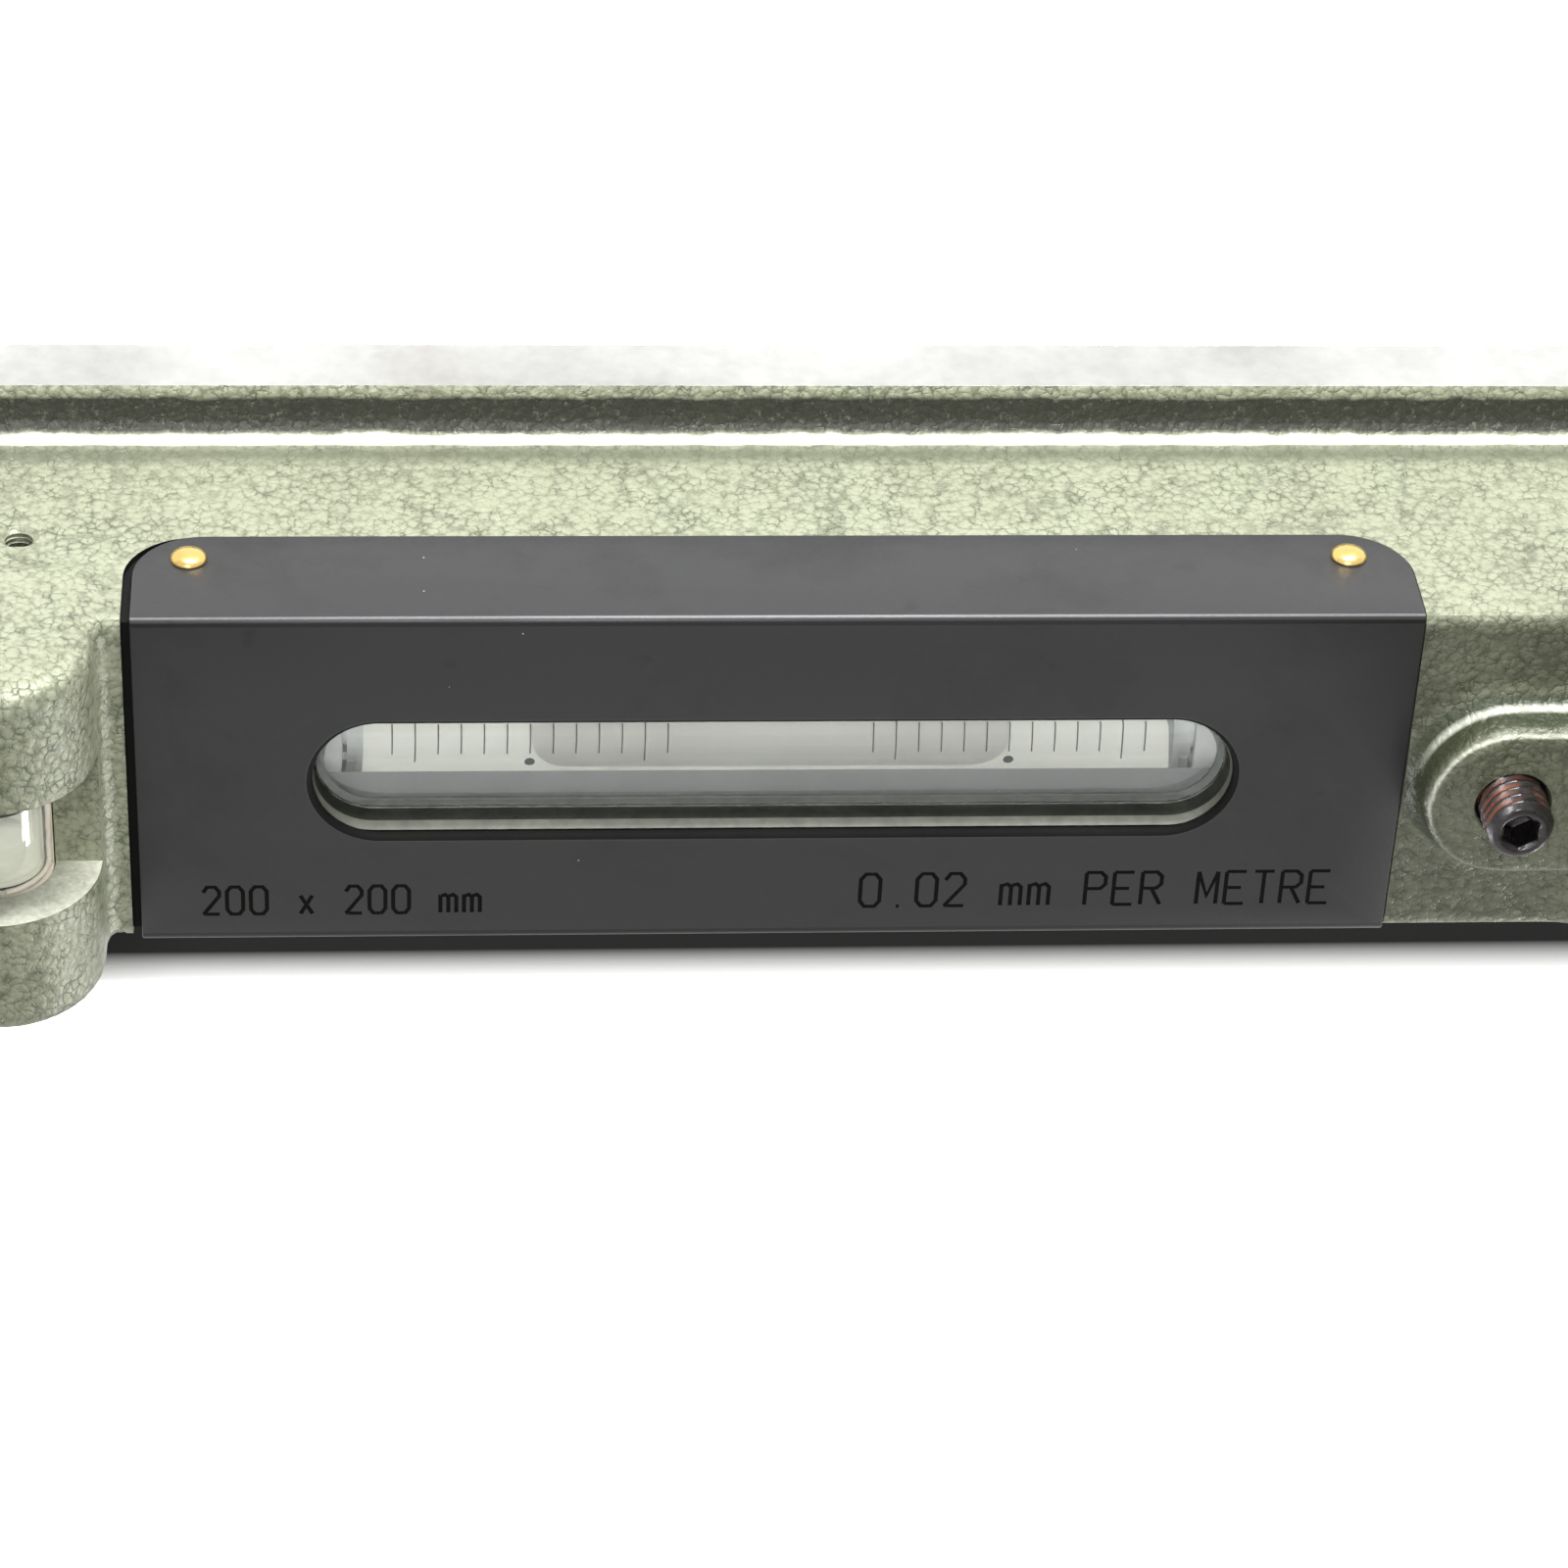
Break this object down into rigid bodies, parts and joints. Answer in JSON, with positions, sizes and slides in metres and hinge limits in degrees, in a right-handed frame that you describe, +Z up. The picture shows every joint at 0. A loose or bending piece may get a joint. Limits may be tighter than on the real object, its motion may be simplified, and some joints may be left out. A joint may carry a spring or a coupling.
{
  "type": "precision square level",
  "caption": "Square cast-iron frame level with ground outer faces, a long graduated vial under a folded cover, a short cross vial in a boss and grips on both uprights.",
  "frame": {"origin": "middle of the base, at the bottom centre of the bounding box, with the level standing on its base as in use", "axes": "+X along the lower bar towards the cross vial, +Y through the frame's depth away from the pictured side face, +Z up"},
  "size_m": [0.2, 0.044, 0.2],
  "materials": {
    "hammer_paint": "green hammertone paint on iron casting, bare ground working faces",
    "cover_black": "satin black on folded steel sheet",
    "pin_brass": "polished domed brass",
    "black_steel": "black oxide steel",
    "bright_steel": "bright steel",
    "holder_steel": "turned steel",
    "clear_glass": "clear glass",
    "vial_liquid": "clear spirit, pale",
    "bubble_gas": "vapour bubble",
    "cement": "cream plaster cement",
    "putty": "dark sealing putty",
    "grip_phenolic": "moulded black phenolic"
  },
  "bodies": {
    "frame": {"frame_casting": "hammer_paint", "bore_plug": "black_steel", "vial_cover": "cover_black", "cover_pin_front_left": "pin_brass", "cover_pin_front_right": "pin_brass", "cover_pin_back_left": "pin_brass", "cover_pin_back_right": "pin_brass", "window_glass": "clear_glass", "window_seal": "putty", "lift_spring": "bright_steel", "pivot_screw_front": "black_steel", "pivot_screw_back": "black_steel", "cross_vial_glass": "clear_glass", "cross_vial_liquid": "vial_liquid", "cross_vial_stopper": "clear_glass", "cross_vial_cement": "cement", "cross_bore_plug": "hammer_paint", "grip_front_left": "grip_phenolic", "grip_front_right": "grip_phenolic", "grip_back_left": "grip_phenolic", "grip_back_right": "grip_phenolic", "grip_screw_front_left_lower": "bright_steel", "grip_screw_front_left_upper": "bright_steel", "grip_screw_front_right_lower": "bright_steel", "grip_screw_front_right_upper": "bright_steel", "grip_screw_back_left_lower": "bright_steel", "grip_screw_back_left_upper": "bright_steel", "grip_screw_back_right_lower": "bright_steel", "grip_screw_back_right_upper": "bright_steel"},
    "adjusting_screw": {"adjusting_screw": "black_steel"},
    "vial_holder": {"vial_holder_tube": "holder_steel", "adjusting_lug": "holder_steel", "pivot_lug": "holder_steel", "main_vial_glass": "clear_glass", "main_vial_stopper": "clear_glass", "main_vial_liquid": "vial_liquid", "main_vial_bed_left": "cement", "main_vial_bed_right": "cement"},
    "main_bubble": {"main_bubble": "bubble_gas"},
    "cross_bubble": {"cross_bubble": "bubble_gas"}
  },
  "joints": [
    {"name": "adjusting_screw_turn", "type": "hinge", "parent": "frame", "child": "adjusting_screw", "pos_m": [-0.0644, 0, 0.04], "axis": [0, 0, 1], "range_deg": [-180, 180]},
    {"name": "holder_tilt", "type": "hinge", "parent": "frame", "child": "vial_holder", "pos_m": [0.0654, 0, 0.0238], "axis": [0, 1, 0], "range_deg": [-0.2207, 0.2207]},
    {"name": "main_bubble_travel", "type": "slide", "parent": "vial_holder", "child": "main_bubble", "axis": [1, 0, 0], "range_m": [-0.014, 0.014]},
    {"name": "cross_bubble_travel", "type": "slide", "parent": "frame", "child": "cross_bubble", "axis": [0, 1, 0], "range_m": [-0.005, 0.005]}
  ],
  "couplings": [
    {"joint": "adjusting_screw_turn", "follows": "holder_tilt", "ratio": 815.56}
  ]
}
